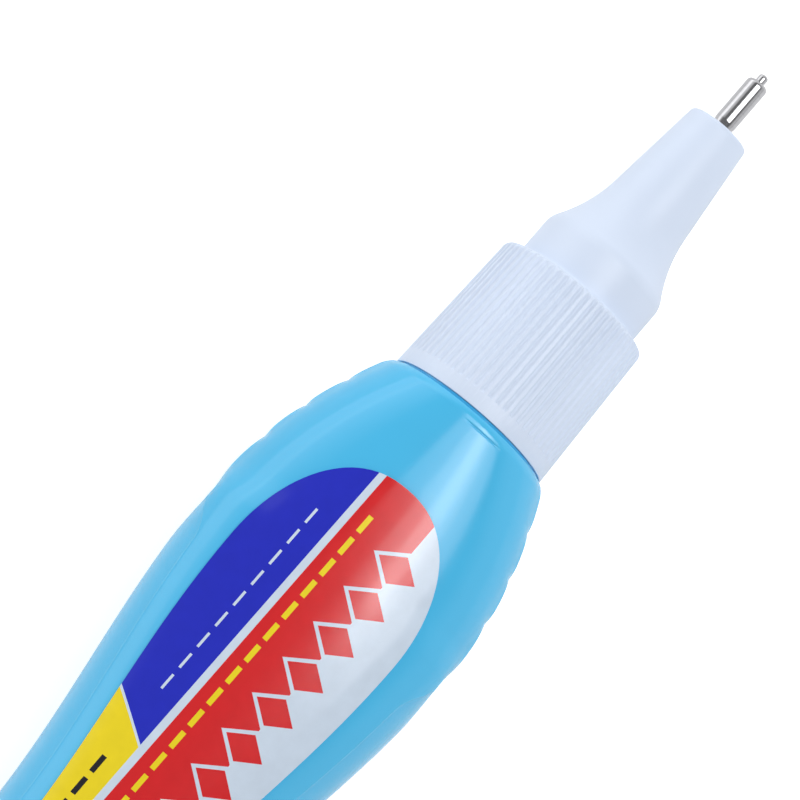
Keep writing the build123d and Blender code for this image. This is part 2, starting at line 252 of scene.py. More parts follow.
class ValveSettings(bpy.types.PropertyGroup):
    barrel: size("Barrel radius", "Outside radius of the steel barrel", 1.05)
    barrel_bore: size("Barrel bore", "Inside radius of the barrel", 0.78)
    barrel_end: size("Barrel end", "Shoulder to the barrel's nose", 39.2)
    nose_rise: size("Nose rise", "How far the nose rises to its opening", 0.15)
    nose_round: size("Nose round", "Round of the nose's edge", 0.32)
    lip: size("Lip", "Thickness of the barrel's nose", 0.6)
    flange: size("Flange radius", "Radius of the barrel's flange", 1.98)
    flange_back: size("Flange back", "Shoulder to the back of the flange", 27)
    nub: size("Nub radius", "Radius of the needle's nub", 0.46)
    nub_end: size("Nub end", "Shoulder to the end of the nub", 40.12)
    nub_round: size("Nub round", "Round of the nub's end", 0.3)
    nub_play: size("Nub play", "Clearance round the nub in the barrel's opening", 0.04)
    needle: size("Needle radius", "Radius of the needle's shaft", 0.6)
    collar: size("Needle collar radius", "Radius of the collar that the spring pushes", 1.4)
    collar_back: size("Needle collar back", "Shoulder to the back of the needle's collar", 25.3)
    collar_thickness: size("Needle collar thickness", "Thickness of the needle's collar", 0.8)
    spring_back: size("Spring seat", "Shoulder to the face that the spring stands on", 19.1)
    wire: size("Wire radius", "Radius of the spring's wire", 0.15)
    coil: size("Coil radius", "Axis to the middle of the wire", 1.15)
    turns: IntProperty(name="Turns", description="Turns of the spring", default=6, min=2, max=12)
    foot: size("Foot depth", "How far the barrel tapers in where it leaves the nozzle", 0.13)
    foot_length: size("Foot length", "Length of that taper beyond the nozzle's end", 0.8)
    steel: tint("Steel", "Colour of the polished steel", 182, 182, 185)
    roughness: share("Roughness", "Roughness of the polished steel", 0.1)
    wire_shade: share("Wire shade", "Colour of the spring's wire as a share of the steel's", 0.6)
    natural: tint("Natural", "Colour of the seal and the retainer", 226, 226, 220)


class StageSettings(bpy.types.PropertyGroup):
    distance: size("Camera distance", "Camera to the middle of the picture", 3000)
    field: size("Field", "Width of the picture at that distance", 69.4)
    aim_back: size("Aim back", "Shoulder to the middle of the picture, to the tail", 2.55)
    aim_left: size("Aim left", "Axis to the middle of the picture, to +Y", 5.71)
    lean: tilt("Lean", "How far the tip leans away from the camera", 10)
    turn: tilt("Turn", "Angle of the pen's axis in the picture", 49.3)
    key: wattage("Key light", "Power of the softbox above", 0.565)
    side: wattage("Side lights", "Power of the side lights", 1.3)
    horizon: share("Horizon", "Level of the white surround near the floor", 1)
    zenith: share("Zenith", "Level of the surround overhead", 0.22)
    floor: tint("Floor", "Colour of the floor", 244, 244, 244)
    floor_lift: share("Floor lift", "Glow of the floor in the picture", 0.6)
    mirror_lift: share("Mirror lift", "Glow of the floor in reflections", 0.2)


def ease(first, last, part):
    """Value between first and last that starts and ends level, as a half wave."""
    part = min(1, max(0, part))
    return first + (last - first) * (1 - cos(pi * part)) / 2


def half_width(bottle, distance):
    """Half width of the bottle: a parabola at the shoulder, then half waves to waist and tail."""
    if distance < bottle.flare:
        rise = 1 - distance / bottle.flare
        return bottle.belly - (bottle.belly - bottle.half_thickness) * rise**2
    if distance < bottle.waist_distance:
        part = (distance - bottle.flare) / (bottle.waist_distance - bottle.flare)
        return ease(bottle.belly, bottle.waist, part)
    part = (distance - bottle.waist_distance) / (bottle.length - bottle.waist_distance)
    return ease(bottle.waist, bottle.tail, part)


def crease(bottle, distance):
    """How far the flank lies inside the corner circles, fading out before the tail's round."""
    rise = (distance - bottle.flare + bottle.crease_lead) / bottle.crease_run
    fall = (bottle.length - bottle.tail_round - distance) / bottle.crease_run - 1
    return ease(LEAST_CREASE, bottle.crease, min(rise, fall))


def section(bottle, distance, growth):
    """Circles of the bottle's oval: crown height and radius, corner middle and radius, flank side."""
    hollow = crease(bottle, distance)
    side = half_width(bottle, distance) + growth + hollow
    crown = bottle.half_thickness + growth
    s = sin(CROWN_TANGENT)
    c = cos(CROWN_TANGENT)
    crown_radius = (side - crown * (1 - s) / c) / (s - (1 - c) * (1 - s) / c)
    corner_radius = (crown - crown_radius * (1 - c)) / c
    return crown, crown_radius, side - corner_radius, corner_radius, side - hollow


def oval(bottle, distance, growth):
    """Points round the bottle's oval, from the middle of the front panel by the +Y flank."""
    crown, crown_radius, middle, corner_radius, flank = section(bottle, distance, growth)
    crease_angle = ease(*CREASE_ANGLES, (distance - bottle.flare + CREASE_TURN_LEAD) / CREASE_TURN_RUN)
    drop = LEDGE_DROP * crease(bottle, distance)
    quarter = []
    for step in range(CROWN_STEPS):
        angle = CROWN_TANGENT * step / CROWN_STEPS
        quarter.append((crown_radius * sin(angle), crown - crown_radius * (1 - cos(angle))))
    start = pi / 2 - CROWN_TANGENT
    for step in range(CORNER_STEPS):
        angle = start + (crease_angle - start) * step / CORNER_STEPS
        quarter.append((middle + corner_radius * cos(angle), corner_radius * sin(angle)))
    edge_y = middle + corner_radius * cos(crease_angle)
    edge_z = corner_radius * sin(crease_angle)
    for step in range(LEDGE_STEPS):
        part = step / LEDGE_STEPS
        quarter.append((edge_y + LEDGE_LEAN * drop * part, edge_z - ease(0, drop, part)))
    edge_y += LEDGE_LEAN * drop
    edge_z -= drop
    inset = flank - edge_y
    flank_radius = (inset**2 + edge_z**2) / (2 * inset)
    for step in range(FLANK_STEPS + 1):
        angle = asin(edge_z / flank_radius) * (1 - step / FLANK_STEPS)
        quarter.append((flank - flank_radius * (1 - cos(angle)), flank_radius * sin(angle)))
    half = quarter[:-1] + [(y, -z) for y, z in reversed(quarter)]
    ring = half[:-1] + [(-y, z) for y, z in reversed(half)][:-1]
    floor = bottle.back_flat - bottle.half_thickness - growth
    return [(y, max(z, floor)) for y, z in ring]


def panel_height(bottle, distance, across, growth):
    """Height of the front panel over the axis, at a distance and a place across."""
    crown, crown_radius, middle, corner_radius, _ = section(bottle, distance, growth)
    across = abs(across)
    if across <= crown_radius * sin(CROWN_TANGENT):
        return crown - crown_radius + sqrt(crown_radius**2 - across**2)
    return sqrt(corner_radius**2 - (across - middle) ** 2)


def soft_least(first, second, blend):
    """Smaller of two values, rounded off where they are close."""
    near = max(blend - abs(first - second), 0) / blend
    return min(first, second) - near**2 * blend / 4


def bump_side(bottle, distance):
    """How far out the flank may reach: arcs between the notches, then a slow return to full width."""
    start = bottle.shoulder_run
    if distance < start:
        return half_width(bottle, distance)
    stops = [(start, half_width(bottle, start))]
    for part in NOTCH_SHARES:
        place = bottle.flare * part
        stops.append((place, half_width(bottle, place) - bottle.notch))
    for (first, first_side), (last, last_side) in zip(stops, stops[1:]):
        if distance <= last:
            part = (distance - first) / (last - first)
            middle = half_width(bottle, (first + last) / 2) - bottle.notch * BUMP_SINK
            rise = middle - (first_side + last_side) / 2
            return first_side + (last_side - first_side) * part + 4 * rise * part * (1 - part)
    part = (distance - stops[-1][0]) / bottle.notch_run
    return half_width(bottle, distance) - ease(bottle.notch, -EDGE_BLEND, part)


def skin_ring(bottle, distance):
    """Ring of the bottle's outside: oval with round shoulder, front groove and scalloped flanks."""
    away = (distance - bottle.groove_distance) / bottle.groove_side
    sink = bottle.groove * max(0, 1 - away**2) ** 2
    limit = bump_side(bottle, distance)
    rise = max(0, bottle.shoulder_run - distance)
    drop = bottle.shoulder_round - sqrt(bottle.shoulder_round**2 - rise**2)
    points = []
    for (y, z), (low_y, low_z) in zip(oval(bottle, distance, 0), oval(bottle, distance, -sink)):
        if sink and z > 0:
            part = ease(1, 0, (abs(y + bottle.groove_aside) - bottle.groove_reach) / bottle.groove_fade)
            y += (low_y - y) * part
            z += (low_z - z) * part
        if y:
            y *= soft_least(abs(y), limit, EDGE_BLEND) / abs(y)
        scale = 1 - drop / hypot(y, z)
        points.append((SHOULDER - distance, y * scale, AXIS + z * scale))
    return points


def oval_ring(bottle, distance, growth):
    """Ring of the plain oval, grown all round."""
    return [(SHOULDER - distance, y, AXIS + z) for y, z in oval(bottle, distance, growth)]


def round_ring(bottle, place, radius):
    """Round ring with its points in step with the oval's."""
    ring = []
    for y, z in oval(bottle, 0, 0):
        scale = radius / hypot(y, z)
        ring.append((SHOULDER + place, y * scale, AXIS + z * scale))
    return ring


def steps(first, last, count):
    """Values from first up to but not including last."""
    return [first + (last - first) * step / count for step in range(count)]


def bottle_rings(bottle):
    """Rings from the cavity's end, along the inside, over the neck and along the outside to the tail."""
    lip = 0.2 * MM
    foot = 0.35 * MM
    shoulder_end = 2.2 * MM
    notches_end = bottle.flare * NOTCH_SHARES[-1] + 1 * MM
    middle = bottle.length - bottle.tail_round
    turn = steps(0, pi / 2, 10) + [pi / 2]
    inner = bottle.tail_round - bottle.wall
    rings = []
    for angle in reversed(turn):
        growth = -bottle.wall - inner * (1 - cos(angle))
        rings.append(oval_ring(bottle, middle + inner * sin(angle), growth))
    inside = steps(middle, bottle.flare, 26)[1:] + steps(bottle.flare, bottle.wall, 12) + [bottle.wall]
    for distance in inside:
        rings.append(oval_ring(bottle, distance, -bottle.wall))
    rings.append(round_ring(bottle, -bottle.wall, bottle.neck_bore))
    quarter = steps(0, pi / 2, 4) + [pi / 2]
    neck_rounds = (
        (quarter, bottle.neck_height, -lip, bottle.neck_bore, lip),
        (quarter[::-1], bottle.neck_height, -lip, bottle.neck_radius, -lip),
        (quarter, -bottle.seat, foot, bottle.neck_radius, foot),
    )
    for angles, end, rise, wall, growth in neck_rounds:
        for angle in angles:
            place = end + rise * (1 - sin(angle))
            rings.append(round_ring(bottle, place, wall + growth * (1 - cos(angle))))
    rings.append(round_ring(bottle, -bottle.seat, bottle.seat_radius))
    rings.append(round_ring(bottle, -bottle.shoulder_start, bottle.slot_radius))
    distances = steps(bottle.shoulder_start, shoulder_end, 66)
    distances += steps(shoulder_end, notches_end, 66)
    distances += [bottle.flare * part for part in NOTCH_SHARES]
    distances += steps(notches_end, middle, 60)
    for distance in sorted(distances):
        rings.append(skin_ring(bottle, distance))
    for angle in turn:
        growth = -bottle.tail_round * (1 - cos(angle))
        rings.append(oval_ring(bottle, middle + bottle.tail_round * sin(angle), growth))
    return rings


def draw_rings(bm, rings):
    """Skin through rings of points: a closed loop that is extruded from ring to ring and capped."""
    column = bm.verts.layers.int.new("column")
    loop = bmesh.ops.create_circle(bm, cap_ends=True, segments=len(rings[0]), radius=1)["verts"]
    for index, vert in enumerate(loop):
        vert[column] = index
        vert.co = rings[0][index]
    edges = bm.edges[:]
    for ring in rings[1:]:
        drawn = bmesh.ops.extrude_edge_only(bm, edges=edges)["geom"]
        edges = [item for item in drawn if isinstance(item, bmesh.types.BMEdge)]
        for vert in drawn:
            if isinstance(vert, bmesh.types.BMVert):
                vert.co = ring[vert[column]]
    bmesh.ops.holes_fill(bm, edges=edges)
    bm.verts.layers.int.remove(column)


def turn_outline(bm, outline, count, closed=True):
    """Revolve an outline of (place, radius, round) corners about the pen's axis."""
    corners = [bm.verts.new((SHOULDER + place, 0, AXIS + radius)) for place, radius, _ in outline]
    for pair in zip(corners, corners[1:] + corners[:1] if closed else corners[1:]):
        bm.edges.new(pair)
    for vert, (_, _, edge) in zip(corners, outline):
        if edge:
            bmesh.ops.bevel(
                bm,
                geom=[vert],
                offset=edge,
                segments=EDGE_STEPS,
                affect="VERTICES",
                profile=0.5,
                material=-1,
            )
    bmesh.ops.spin(
        bm,
        geom=bm.verts[:] + bm.edges[:],
        cent=(SHOULDER, 0, AXIS),
        axis=(1, 0, 0),
        angle=2 * pi,
        steps=count,
        use_merge=True,
    )
    bmesh.ops.remove_doubles(bm, verts=bm.verts[:], dist=MERGE)
    bmesh.ops.recalc_face_normals(bm, faces=bm.faces[:])


def wind(bm, face_points, turns, pitch, count):
    """Wind a small closed face about the pen's axis into a thread or a spring, in count steps a turn."""
    verts = [bm.verts.new((SHOULDER + place, y, AXIS + radius)) for place, y, radius in face_points]
    face = bm.faces.new(verts)
    bmesh.ops.spin(
        bm,
        geom=verts + list(face.edges) + [face],
        cent=(SHOULDER, 0, AXIS),
        axis=(1, 0, 0),
        dvec=(pitch / count, 0, 0),
        angle=2 * pi * turns,
        steps=round(turns * count),
    )


def thread_face(start, radius, outward, depth):
    """Trapezoid of a thread with its straight flanks sunk into the wall."""
    sunk = 0.15 * MM
    root = 0.5 * MM
    crest = 0.25 * MM
    base = root + (root - crest) * sunk / depth
    return [
        (start - base, 0, radius - outward * sunk),
        (start - crest, 0, radius + outward * depth),
        (start + crest, 0, radius + outward * depth),
        (start + base, 0, radius - outward * sunk),
    ]


def make_piece(name, bm, materials, body, node, sharp=38):
    """Turn a finished bmesh into the object that stands for a node, with edges over sharp degrees hard."""
    mesh = bpy.data.meshes.new(name)
    bm.to_mesh(mesh)
    bm.free()
    for material in materials:
        mesh.materials.append(material)
    mesh.shade_smooth()
    mesh.set_sharp_from_angle(angle=radians(sharp))
    piece = bpy.data.objects.new(name, mesh)
    bpy.context.scene.collection.objects.link(piece)
    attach(piece, body)
    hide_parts(node)
    return piece


class Finish:
    """Node material in the making, on the piece's own Object coordinates."""

    def __init__(self, name):
        self.material = bpy.data.materials.new(name)
        self.material.use_nodes = True
        self.nodes = self.material.node_tree.nodes
        self.links = self.material.node_tree.links
        self.shader = self.nodes["Principled BSDF"]
        self.place = self.nodes.new("ShaderNodeTexCoord").outputs["Object"]

    def set(self, **values):
        """Set the shader's own sockets."""
        for name, value in values.items():
            self.shader.inputs[name.replace("_", " ")].default_value = value

    def add(self, kind, inputs, **fields):
        """New node whose inputs are values or other nodes' outputs."""
        node = self.nodes.new(kind)
        for field, value in fields.items():
            setattr(node, field, value)
        for key, value in inputs.items():
            if isinstance(value, bpy.types.NodeSocket):
                self.links.new(value, node.inputs[key])
            else:
                node.inputs[key].default_value = value
        return node

    def noise(self, scale, detail, stretch=(1, 1, 1)):
        """Noise over the piece, drawn out along an axis where stretch is small."""
        spread = self.add("ShaderNodeMapping", {"Vector": self.place, "Scale": stretch})
        node = self.add(
            "ShaderNodeTexNoise", {"Vector": spread.outputs["Vector"], "Scale": scale, "Detail": detail}
        )
        return node.outputs["Fac"]

    def calculate(self, operation, first, second):
        """Result of one math node."""
        return self.add("ShaderNodeMath", {0: first, 1: second}, operation=operation).outputs["Value"]

    def remap(self, value, low, high, from_low=0.25, from_high=0.75):
        """Value stretched to a new range."""
        node = self.add(
            "ShaderNodeMapRange",
            {"Value": value, "From Min": from_low, "From Max": from_high, "To Min": low, "To Max": high},
        )
        return node.outputs["Result"]

    def shades(self, value, colour, spread):
        """Base colour that drifts a little darker and lighter."""
        ramp = self.nodes.new("ShaderNodeValToRGB")
        for element, place, level in zip(ramp.color_ramp.elements, (0.3, 0.7), (1 - spread, 1 + spread)):
            element.position = place
            element.color = [min(1, channel * level) for channel in colour] + [1]
        self.links.new(value, ramp.inputs["Fac"])
        self.links.new(ramp.outputs["Color"], self.shader.inputs["Base Color"])

    def roughen(self, value, low, high):
        """Roughness that varies over the surface."""
        self.links.new(self.remap(value, low, high), self.shader.inputs["Roughness"])

    def bump(self, height, strength, distance):
        """Small relief."""
        node = self.add("ShaderNodeBump", {"Height": height, "Strength": strength, "Distance": distance})
        self.links.new(node.outputs["Normal"], self.shader.inputs["Normal"])


def moulded_plastic(name, colour, roughness, seam=False):
    """Moulded plastic: slow drift of colour, fine mould texture and, on a bottle, its parting line."""
    finish = Finish(name)
    finish.shades(finish.noise(scale=140, detail=2), colour, spread=0.012)
    texture = finish.noise(scale=7000, detail=3)
    finish.roughen(texture, roughness - 0.04, roughness + 0.05)
    height = finish.calculate("MULTIPLY", texture, 0.12)
    if seam:
        parts = finish.add("ShaderNodeSeparateXYZ", {"Vector": finish.place})
        away = finish.calculate("ABSOLUTE", finish.calculate("SUBTRACT", parts.outputs["Z"], AXIS), 0)
        line = finish.remap(away, 1, 0, from_low=0, from_high=0.12 * MM)
        height = finish.calculate("ADD", height, line)
    finish.bump(height, strength=0.15, distance=0.02 * MM)
    finish.set(IOR=1.5)
    return finish.material


def ink(name, colour):
    """Printed film under a clear varnish, with a fine uneven ink layer."""
    finish = Finish(name)
    finish.shades(finish.noise(scale=700, detail=4), colour, spread=0.03)
    fine = finish.noise(scale=5200, detail=2)
    finish.roughen(fine, low=0.09, high=0.14)
    finish.bump(fine, strength=0.1, distance=0.01 * MM)
    finish.set(IOR=1.5)
    return finish.material


def polished_steel(name, colour, roughness, ring_scale):
    """Turned and polished steel with faint rings from the lathe."""
    finish = Finish(name)
    rings = finish.noise(ring_scale, detail=2, stretch=(1, 0.06, 0.06))
    finish.shades(rings, colour, spread=0.05)
    finish.roughen(rings, roughness - 0.03, roughness + 0.05)
    finish.bump(rings, strength=0.04, distance=0.01 * MM)
    finish.set(Metallic=1)
    return finish.material


def foam(name, colour):
    """Soft closed-cell foam."""
    finish = Finish(name)
    cells = finish.noise(scale=3800, detail=4)
    finish.shades(cells, colour, spread=0.06)
    finish.roughen(cells, low=0.75, high=0.95)
    finish.bump(cells, strength=0.6, distance=0.05 * MM)
    return finish.material


class PEN_OT_bottle(bpy.types.Operator):
    """Build the squeeze bottle with its neck and thread"""

    bl_idname = "pen.bottle"
    bl_label = "Bottle"

    def execute(self, context):
        bottle = context.scene.pen_bottle
        bm = bmesh.new()
        draw_rings(bm, bottle_rings(bottle))
        thread = thread_face(bottle.thread_start, bottle.neck_radius, 1, bottle.thread)
        wind(bm, thread, 2, bottle.pitch, THREAD_STEPS)
        bmesh.ops.recalc_face_normals(bm, faces=bm.faces[:])
        plastic = moulded_plastic("bottle_plastic", bottle.colour, bottle.roughness, seam=True)
        make_piece("squeeze_bottle", bm, [plastic], "bottle_body", "bottle", sharp=28)
        return {"FINISHED"}


def label_side(label, distance):
    """Half width of the label's outline."""
    if distance < label.belly_distance:
        part = (label.belly_distance - distance) / (label.belly_distance - label.front)
        return label.belly * max(0, 1 - part**2) ** (1 / label.bluntness)
    if distance < label.straight_end:
        part = (distance - label.belly_distance) / (label.waist_distance - label.belly_distance)
        return ease(label.belly, label.waist, part)
    part = (distance - label.straight_end) / label.tail_length
    return label.waist * sqrt(max(0, 1 - part**2))


def label_sheet(label):
    """Flat film in plan, from a grid that is drawn to the label's outline."""
    bm = bmesh.new()
    grid = bmesh.ops.create_grid(bm, x_segments=90, y_segments=26, size=0.5)["verts"]
    end = label.straight_end + label.tail_length
    for vert in grid:
        distance = ease(label.front, end, vert.co.x + 0.5)
        vert.co = (-distance, label.shift + 2 * vert.co.y * label_side(label, distance), 0)
    bmesh.ops.remove_doubles(bm, verts=bm.verts[:], dist=MERGE)
    return bm


# Print of the films in mm: fields as (distance, across) corners, which may lie past the film's edge
PAST_EDGE = 12
DIAMOND_ROW = -3.7
DIAMONDS = [15.6 + 4.1 * index for index in range(11)]
BLUE_FIELD = [(5, 2.92), (41.81, 3.28), (35.8, PAST_EDGE), (5, PAST_EDGE)]
YELLOW_FIELD = [(42.08, 3.28), (80, 3.48), (80, PAST_EDGE), (36.08, PAST_EDGE)]
RED_FIELD = [(5, DIAMOND_ROW), (80, DIAMOND_ROW), (80, 2.86), (5, 2.25)]
RULED_LINES = [27 + 3 * index for index in range(12)]


def diamond(middle, along, across):
    """Corners of a diamond on the edge of the red field, by its half length and half width in mm."""
    return [
        (middle - along, DIAMOND_ROW),
        (middle, DIAMOND_ROW - across),
        (middle + along, DIAMOND_ROW),
        (middle, DIAMOND_ROW + across),
    ]


def bar(first, last, side):
    """Corners of a bar across the film."""
    return [(first, -side), (last, -side), (last, side), (first, side)]


def print_patch(bm, corners, slot):
    """Print a convex patch, given by (distance, across) corners in mm: cut the film along its edges."""
    points = [Vector((-distance * MM, across * MM, 0)) for distance, across in corners]
    middle = sum(points, Vector()) / len(points)
    low = [min(point[axis] for point in points) for axis in (0, 1)]
    high = [max(point[axis] for point in points) for axis in (0, 1)]

    def near(face):
        return all(
            min(vert.co[axis] for vert in face.verts) <= high[axis] + NEAR
            and max(vert.co[axis] for vert in face.verts) >= low[axis] - NEAR
            for axis in (0, 1)
        )

    faces = [face for face in bm.faces if near(face)]
    parts = {part for face in faces for part in (*face.verts, *face.edges, face)}
    sides = []
    for first, last in zip(points, points[1:] + points[:1]):
        outward = (last - first).cross(Vector((0, 0, 1))).normalized()
        if outward.dot(middle - first) > 0:
            outward.negate()
        sides.append((first, outward))
        cut = bmesh.ops.bisect_plane(bm, geom=list(parts), dist=MERGE, plane_co=first, plane_no=outward)
        parts = cut["geom"]
    for face in parts:
        if isinstance(face, bmesh.types.BMFace):
            centre = face.calc_center_median()
            if all((centre - point).dot(outward) <= MERGE for point, outward in sides):
                face.material_index = slot


def dash_row(bm, first, last, width, dash, gap, slot):
    """Print a row of short dashes between two (distance, across) points in mm."""
    along = Vector(last) - Vector(first)
    reach = along.length
    along.normalize()
    side = Vector((-along.y, along.x)) * width / 2
    start = 0
    while start + dash <= reach:
        a = Vector(first) + along * start
        b = Vector(first) + along * (start + dash)
        print_patch(bm, [a - side, b - side, b + side, a + side], slot)
        start += dash + gap


def lay_film(bm, bottle, label, up):
    """Drape the flat film on a panel of the bottle and give it its thickness."""
    growth = label.gap + label.thickness
    flat = bottle.half_thickness - bottle.back_flat + growth
    for vert in bm.verts:
        height = panel_height(bottle, -vert.co.x, vert.co.y, growth)
        if up < 0:
            height = min(height, flat)
        vert.co = (SHOULDER + vert.co.x, vert.co.y, AXIS + up * height)
    bm.normal_update()
    wrong = [face for face in bm.faces if face.normal.z * up < 0]
    bmesh.ops.reverse_faces(bm, faces=wrong)
    bmesh.ops.solidify(bm, geom=bm.faces[:], thickness=label.thickness)


class PEN_OT_labels(bpy.types.Operator):
    """Build the two printed films on the bottle"""

    bl_idname = "pen.labels"
    bl_label = "Labels"

    def execute(self, context):
        bottle = context.scene.pen_bottle
        label = context.scene.pen_label
        colours = ("white", "blue", "red", "yellow", "dark")
        white, blue, red, yellow, dark = range(len(colours))
        inks = [ink(f"film_{colour}", getattr(label, colour)) for colour in colours]
        # Front: blue and yellow fields, a white stripe, a red field and a white field
        bm = label_sheet(label)
        print_patch(bm, BLUE_FIELD, blue)
        print_patch(bm, YELLOW_FIELD, yellow)
        print_patch(bm, RED_FIELD, red)
        for middle in DIAMONDS:
            print_patch(bm, diamond(middle, along=1.95, across=2.65), white)
            print_patch(bm, diamond(middle, along=1.5, across=2.1), red)
        dash_row(bm, (13.5, 1), (62, 1.3), width=0.5, dash=1.8, gap=0.7, slot=yellow)
        dash_row(bm, (16, 5), (37, 5.1), width=0.24, dash=1.6, gap=0.8, slot=white)
        dash_row(bm, (44.5, 5), (62, 5), width=0.5, dash=1.8, gap=0.7, slot=dark)
        lay_film(bm, bottle, label, 1)
        make_piece("front_film", bm, inks, "bottle_body", "front_label", sharp=40)
        # Back: white film with a blue head, a red rule and plain ruled lines
        bm = label_sheet(label)
        print_patch(bm, bar(5, 20, PAST_EDGE), blue)
        print_patch(bm, bar(20.6, 21.6, PAST_EDGE), red)
        for start in RULED_LINES:
            print_patch(bm, bar(start, start + 0.5, 4.6), blue)
        lay_film(bm, bottle, label, -1)
        make_piece("back_film", bm, inks, "bottle_body", "back_label", sharp=40)
        return {"FINISHED"}


def collar_radius(nozzle, place):
    """Radius of the collar's drafted wall."""
    part = (place + nozzle.overhang) / (nozzle.height + nozzle.overhang)
    return nozzle.mouth + (nozzle.top - nozzle.mouth) * part


def flare_points(nozzle):
    """Hollow curve from the cone to the corner of the boss, an arc that leaves the cone smoothly."""
    foot = Vector((nozzle.flare_end, nozzle.flare_radius))
    top = Vector((nozzle.boss_end, nozzle.boss))
    tangent = (foot - Vector((nozzle.length, nozzle.end))).normalized()
    normal = Vector((tangent.y, -tangent.x))
    if normal.dot(top - foot) < 0:
        normal.negate()
    chord = top - foot
    radius = chord.length_squared / (2 * chord.dot(normal))
    sweep = 2 * asin(chord.length / (2 * radius))
    return [
        foot + tangent * radius * sin(angle) + normal * radius * (1 - cos(angle))
        for angle in steps(0, sweep, 8) + [sweep]
    ]


def press_ribs(bm, nozzle, first):
    """Press the hollows between the grip ribs into the collar's wall."""
    pitch = 2 * pi / nozzle.ribs
    wall_start = nozzle.boss + 0.5 * MM
    for vert in bm.verts:
        place = vert.co.x - SHOULDER
        y = vert.co.y
        z = vert.co.z - AXIS
        radius = hypot(y, z)
        if radius < wall_start or not first - NEAR <= place <= nozzle.height + NEAR:
            continue
        angle = atan2(z, y)
        away = angle - pitch * round(angle / pitch)
        middle = collar_radius(nozzle, place) + nozzle.flute - nozzle.flute_depth
        aside = middle * sin(away)
        if abs(aside) < nozzle.flute:
            hollow = middle * cos(away) - sqrt(nozzle.flute**2 - aside**2)
            scale = min(radius, hollow) / radius
            vert.co = (vert.co.x, y * scale, AXIS + z * scale)


class PEN_OT_nozzle(bpy.types.Operator):
    """Build the ribbed screw nozzle with its bores and inside thread"""

    bl_idname = "pen.nozzle"
    bl_label = "Nozzle"

    def execute(self, context):
        bottle = context.scene.pen_bottle
        nozzle = context.scene.pen_nozzle
        valve = context.scene.pen_valve
        fit = 0.02 * MM
        seat = valve.barrel + fit
        rib_start = nozzle.band - nozzle.overhang
        rib_full = rib_start + nozzle.rib_start
        outline = [
            (-nozzle.overhang, nozzle.bore, 0),
            (-nozzle.overhang, nozzle.mouth, nozzle.mouth_round),
            (rib_start, collar_radius(nozzle, rib_start), 0),
            (rib_full, collar_radius(nozzle, rib_full), 0),
            (nozzle.height, nozzle.top, nozzle.top_round),
            (nozzle.height, nozzle.boss, nozzle.boss_fillet),
        ]
        corner, *flare = reversed(flare_points(nozzle))
        outline += [(*corner, nozzle.boss_round)] + [(*point, 0) for point in flare]
        outline += [
            (nozzle.length, nozzle.end, nozzle.end_round),
            (nozzle.length, seat + nozzle.end_sink, 0),
            (nozzle.length - nozzle.end_sink, seat, 0),
            (nozzle.valve_end, seat, 0),
            (nozzle.valve_end, nozzle.valve_bore, 0),
            (nozzle.chamber_end, nozzle.valve_bore, 0),
            (nozzle.chamber_end, nozzle.chamber, 0),
            (nozzle.ceiling, nozzle.chamber, 0),
            (nozzle.ceiling, nozzle.bore, 0),
        ]
        bm = bmesh.new()
        turn_outline(bm, outline, RIB_STEPS * nozzle.ribs)
        press_ribs(bm, nozzle, rib_full)
        thread = thread_face(bottle.thread_start - bottle.pitch / 2, nozzle.bore, -1, bottle.thread)
        wind(bm, thread, 1.75, bottle.pitch, THREAD_STEPS)
        bmesh.ops.recalc_face_normals(bm, faces=bm.faces[:])
        plastic = moulded_plastic("nozzle_plastic", nozzle.colour, nozzle.roughness)
        make_piece("screw_nozzle", bm, [plastic], "nozzle_body", "nozzle")
        return {"FINISHED"}


def barrel_outline(nozzle, valve):
    """Outline of the steel barrel, from its flange in the nozzle to its nose."""
    edge = 0.05 * MM
    opening_edge = 0.03 * MM
    opening = valve.nub + valve.nub_play
    seat = valve.barrel_end - valve.lip
    return [
        (valve.flange_back, valve.barrel_bore, 0),
        (valve.flange_back, valve.flange, edge),
        (nozzle.valve_end, valve.flange, edge),
        (nozzle.valve_end, valve.barrel, 0),
        (nozzle.length, valve.barrel, 0),
        (nozzle.length, valve.barrel - valve.foot, 0),
        (nozzle.length + valve.foot_length, valve.barrel, edge),
        (valve.barrel_end, valve.barrel, valve.nose_round),
        (valve.barrel_end + valve.nose_rise, opening, opening_edge),
        (seat, opening, 0),
        (seat, valve.barrel_bore, 0),
    ]


def needle_outline(nozzle, valve):
    """Outline of the needle, from its nub to its tail."""
    edge = 0.05 * MM
    collar_edge = 0.08 * MM
    tail_edge = 0.1 * MM
    seat = valve.barrel_end - valve.lip
    collar_front = valve.collar_back + valve.collar_thickness
    return [
        (valve.nub_end, 0, 0),
        (valve.nub_end, valve.nub, valve.nub_round),
        (seat, valve.nub, 0),
        (seat, valve.needle, edge),
        (collar_front, valve.needle, 0),
        (collar_front, valve.collar, collar_edge),
        (valve.collar_back, valve.collar, collar_edge),
        (valve.collar_back, valve.needle, 0),
        (nozzle.chamber_end, valve.needle, tail_edge),
        (nozzle.chamber_end, 0, 0),
    ]


